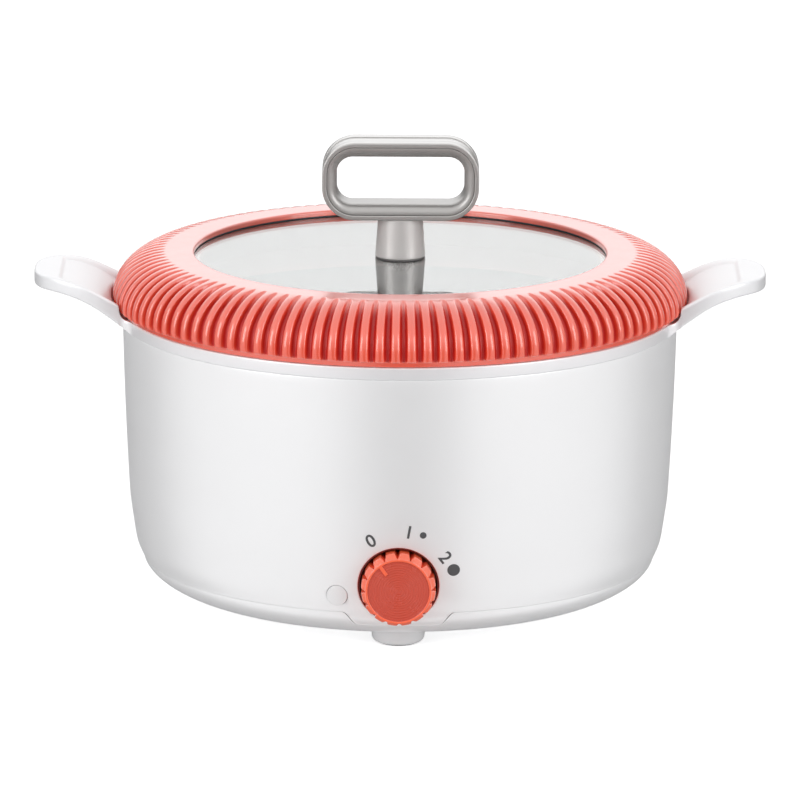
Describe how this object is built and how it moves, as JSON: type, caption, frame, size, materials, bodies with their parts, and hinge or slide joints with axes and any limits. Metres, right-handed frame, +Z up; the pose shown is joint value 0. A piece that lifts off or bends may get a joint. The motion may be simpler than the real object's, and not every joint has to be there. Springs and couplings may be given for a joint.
{
  "type": "electric hot pot",
  "caption": "Round electric hot pot on three feet with ear handles, a rotary control, a pilot lens and a lift-off glass lid in a fluted ring with a loop handle.",
  "frame": {"origin": "on the surface that the feet stand on, at the centre of the round body", "axes": "+Z up along the body's axis, the control knob faces -Y, the ear handles lie along X"},
  "size_m": [0.3812, 0.3, 0.2433],
  "materials": {
    "shell_white": "satin moulded plastic, white",
    "foot_white": "moulded plastic, pale grey",
    "pad_rubber": "soft rubber",
    "ring_coral": "satin moulded plastic, coral",
    "retainer_coral": "moulded plastic, dark coral",
    "knob_coral": "gloss moulded plastic, coral",
    "knob_face_red": "spun disc, red",
    "socket_maroon": "moulded plastic, maroon",
    "handle_grey": "satin moulded plastic, warm grey",
    "handle_inner_grey": "satin moulded plastic, warm grey",
    "lid_glass": "clear toughened glass",
    "seal_dark": "silicone, dark grey",
    "pot_ceramic": "pale non-stick coating",
    "steel": "bright steel",
    "plate_aluminium": "cast aluminium",
    "element_sheath": "dull steel sheath",
    "thermostat_ivory": "ceramic, ivory",
    "fuse_brass": "brass",
    "switch_brown": "moulded phenolic",
    "lens_white": "milky lens",
    "lamp_amber": "lamp holder, amber",
    "inlet_black": "moulded plastic, black",
    "wire_sleeve": "silicone sleeve"
  },
  "bodies": {
    "pot": {"outer_shell": "shell_white", "base_pan": "shell_white", "foot_front": "foot_white", "foot_left": "foot_white", "foot_right": "foot_white", "foot_pads": "pad_rubber", "foot_screws": "steel", "rim_collar": "shell_white", "inner_pot": "pot_ceramic", "heat_plate": "plate_aluminium", "heating_element": "element_sheath", "heat_shield": "steel", "limit_thermostat": "thermostat_ivory", "thermal_fuse": "fuse_brass", "support_pillars": "steel", "tie_screws": "steel", "knob_socket": "socket_maroon", "rotary_switch": "switch_brown", "switch_nut": "steel", "pilot_lens": "lens_white", "pilot_lamp": "lamp_amber", "power_inlet": "inlet_black", "inlet_pins": "fuse_brass", "terminal_block": "thermostat_ivory", "wiring": "wire_sleeve"},
    "lid": {"trim_ring": "ring_coral", "retaining_ring": "retainer_coral", "glass_seal": "seal_dark", "glass_pane": "lid_glass", "handle_stem": "handle_grey", "stem_seal": "seal_dark", "lower_seal": "seal_dark", "clamp_washer": "steel", "handle_screw": "steel", "handle_front": "handle_grey", "handle_band": "handle_inner_grey", "handle_back": "handle_grey", "handle_liner": "handle_inner_grey"},
    "knob": {"control_shaft": "steel", "control_knob": "knob_coral", "knob_face": "knob_face_red", "knob_pointer": "knob_coral"}
  },
  "joints": [
    {"name": "lid_lift", "type": "slide", "parent": "pot", "child": "lid", "axis": [0, 0, 1], "range_m": [0, 0.15]},
    {"name": "knob_turn", "type": "hinge", "parent": "pot", "child": "knob", "pos_m": [0, -0.12, 0.039], "axis": [0, 1, 0], "range_deg": [0, 98]}
  ]
}
